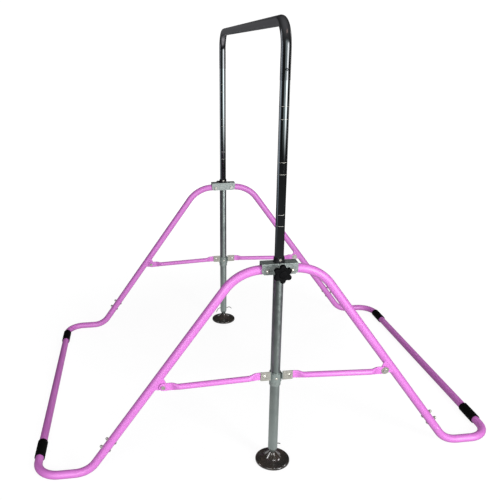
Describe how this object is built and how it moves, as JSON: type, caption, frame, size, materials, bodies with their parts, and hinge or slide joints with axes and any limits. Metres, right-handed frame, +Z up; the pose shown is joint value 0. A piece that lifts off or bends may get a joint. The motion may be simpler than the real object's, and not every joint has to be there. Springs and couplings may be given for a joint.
{
  "type": "kip bar",
  "caption": "Folding kip bar: a steel bar on two telescopic posts with star knobs, carried by two hinged A-frames joined by base tubes, with slider links and dished feet.",
  "frame": {"origin": "on the floor, midway between the two posts", "axes": "+X along the bar towards the right post, +Y towards the back frame, +Z up"},
  "size_m": [1.3486, 1.7478, 1.5035],
  "materials": {
    "pink_paint": "smooth powder coat",
    "zinc_tube": "satin zinc plate",
    "zinc_hardware": "bright zinc plate",
    "zinc_pressing": "dull zinc plate",
    "post_chrome": "polished chrome",
    "bar_chrome": "satin dark chrome",
    "black_plastic": "moulded",
    "knob_plastic": "moulded",
    "black_rubber": "matte",
    "dark_pressed_steel": "glossy dark bronze",
    "nylon": "moulded"
  },
  "bodies": {
    "posts": {"lower_post_left": "zinc_tube", "bracket_left": "zinc_pressing", "post_bush_left": "black_plastic", "foot_disc_left": "dark_pressed_steel", "lower_post_right": "zinc_tube", "bracket_right": "zinc_pressing", "post_bush_right": "black_plastic", "foot_disc_right": "dark_pressed_steel", "bush_rivets": "zinc_hardware", "pivot_bolts": "zinc_hardware", "pivot_washers": "nylon", "lock_nuts": "zinc_hardware", "foot_stems": "zinc_hardware", "foot_plugs": "zinc_tube", "foot_clips": "zinc_hardware"},
    "bar": {"crossbar": "bar_chrome", "upper_post_left": "post_chrome", "upper_post_right": "post_chrome", "post_end_plugs": "black_plastic", "snap_springs": "zinc_hardware"},
    "front_frame": {"front_leg_left": "pink_paint", "front_leg_right": "pink_paint", "front_elbow_left": "pink_paint", "front_elbow_right": "pink_paint", "front_base_tube": "pink_paint", "front_couplers": "black_rubber", "front_leg_bolts": "zinc_hardware", "front_leg_nuts": "zinc_hardware", "front_link_tabs": "pink_paint"},
    "back_frame": {"back_leg_left": "pink_paint", "back_leg_right": "pink_paint", "back_elbow_left": "pink_paint", "back_elbow_right": "pink_paint", "back_base_tube": "pink_paint", "back_couplers": "black_rubber", "back_leg_bolts": "zinc_hardware", "back_leg_nuts": "zinc_hardware", "back_link_tabs": "pink_paint"},
    "slider_left": {"slider_collar_left": "zinc_pressing", "slider_strap_left": "zinc_pressing", "slider_rivets_left": "zinc_hardware"},
    "front_link_left": {"front_link_left": "pink_paint", "front_link_bolt_left": "zinc_hardware"},
    "back_link_left": {"back_link_left": "pink_paint", "back_link_bolt_left": "zinc_hardware"},
    "knob_washer_left": {"knob_washer_left": "zinc_hardware"},
    "knob_left": {"knob_left": "knob_plastic", "knob_stud_left": "zinc_hardware"},
    "snap_button_left": {"snap_button_left": "post_chrome"},
    "slider_right": {"slider_collar_right": "zinc_pressing", "slider_strap_right": "zinc_pressing", "slider_rivets_right": "zinc_hardware"},
    "front_link_right": {"front_link_right": "pink_paint", "front_link_bolt_right": "zinc_hardware"},
    "back_link_right": {"back_link_right": "pink_paint", "back_link_bolt_right": "zinc_hardware"},
    "knob_washer_right": {"knob_washer_right": "zinc_hardware"},
    "knob_right": {"knob_right": "knob_plastic", "knob_stud_right": "zinc_hardware"},
    "snap_button_right": {"snap_button_right": "post_chrome"}
  },
  "joints": [
    {"name": "bar_height", "type": "slide", "parent": "posts", "child": "bar", "axis": [0, 0, 1], "range_m": [-0.48, 0]},
    {"name": "front_fold", "type": "hinge", "parent": "posts", "child": "front_frame", "pos_m": [0, -0.04, 0.755], "axis": [1, 0, 0], "range_deg": [0, 36.2]},
    {"name": "back_fold", "type": "hinge", "parent": "posts", "child": "back_frame", "pos_m": [0, 0.04, 0.755], "axis": [-1, 0, 0], "range_deg": [0, 36.2]},
    {"name": "slider_left_lift", "type": "slide", "parent": "posts", "child": "slider_left", "axis": [0, 0, 1], "range_m": [0, 0.2006]},
    {"name": "front_link_left_swing", "type": "hinge", "parent": "slider_left", "child": "front_link_left", "pos_m": [-0.5918, -0.043, 0.372], "axis": [1, 0, 0], "range_deg": [0, 80.5]},
    {"name": "back_link_left_swing", "type": "hinge", "parent": "slider_left", "child": "back_link_left", "pos_m": [-0.5918, 0.043, 0.372], "axis": [-1, 0, 0], "range_deg": [0, 80.5]},
    {"name": "knob_travel_left", "type": "slide", "parent": "posts", "child": "knob_washer_left", "axis": [1, 0, 0], "range_m": [0, 0.0046]},
    {"name": "knob_turn_left", "type": "hinge", "parent": "knob_washer_left", "child": "knob_left", "pos_m": [-0.64, 0, 0.757], "axis": [1, 0, 0], "range_deg": [0, 1080]},
    {"name": "snap_button_left_press", "type": "slide", "parent": "bar", "child": "snap_button_left", "axis": [1, 0, 0], "range_m": [0, 0.0035], "stiffness_N_per_m": 600},
    {"name": "slider_right_lift", "type": "slide", "parent": "posts", "child": "slider_right", "axis": [0, 0, 1], "range_m": [0, 0.2006]},
    {"name": "front_link_right_swing", "type": "hinge", "parent": "slider_right", "child": "front_link_right", "pos_m": [0.6282, -0.043, 0.372], "axis": [1, 0, 0], "range_deg": [0, 80.5]},
    {"name": "back_link_right_swing", "type": "hinge", "parent": "slider_right", "child": "back_link_right", "pos_m": [0.6282, 0.043, 0.372], "axis": [-1, 0, 0], "range_deg": [0, 80.5]},
    {"name": "knob_travel_right", "type": "slide", "parent": "posts", "child": "knob_washer_right", "axis": [-1, 0, 0], "range_m": [0, 0.0046]},
    {"name": "knob_turn_right", "type": "hinge", "parent": "knob_washer_right", "child": "knob_right", "pos_m": [0.64, 0, 0.757], "axis": [-1, 0, 0], "range_deg": [0, 1080]},
    {"name": "snap_button_right_press", "type": "slide", "parent": "bar", "child": "snap_button_right", "axis": [-1, 0, 0], "range_m": [0, 0.0035], "stiffness_N_per_m": 600}
  ],
  "couplings": [
    {"joint": "back_fold", "follows": "front_fold", "ratio": 1},
    {"joint": "slider_left_lift", "follows": "front_fold", "m_per_rad": 0.31675},
    {"joint": "front_link_left_swing", "follows": "front_fold", "ratio": 2.2183},
    {"joint": "back_link_left_swing", "follows": "front_fold", "ratio": 2.2183},
    {"joint": "knob_travel_left", "follows": "knob_turn_left", "m_per_rad": 0.00023873},
    {"joint": "slider_right_lift", "follows": "front_fold", "m_per_rad": 0.31675},
    {"joint": "front_link_right_swing", "follows": "front_fold", "ratio": 2.2183},
    {"joint": "back_link_right_swing", "follows": "front_fold", "ratio": 2.2183},
    {"joint": "knob_travel_right", "follows": "knob_turn_right", "m_per_rad": 0.00023873}
  ]
}
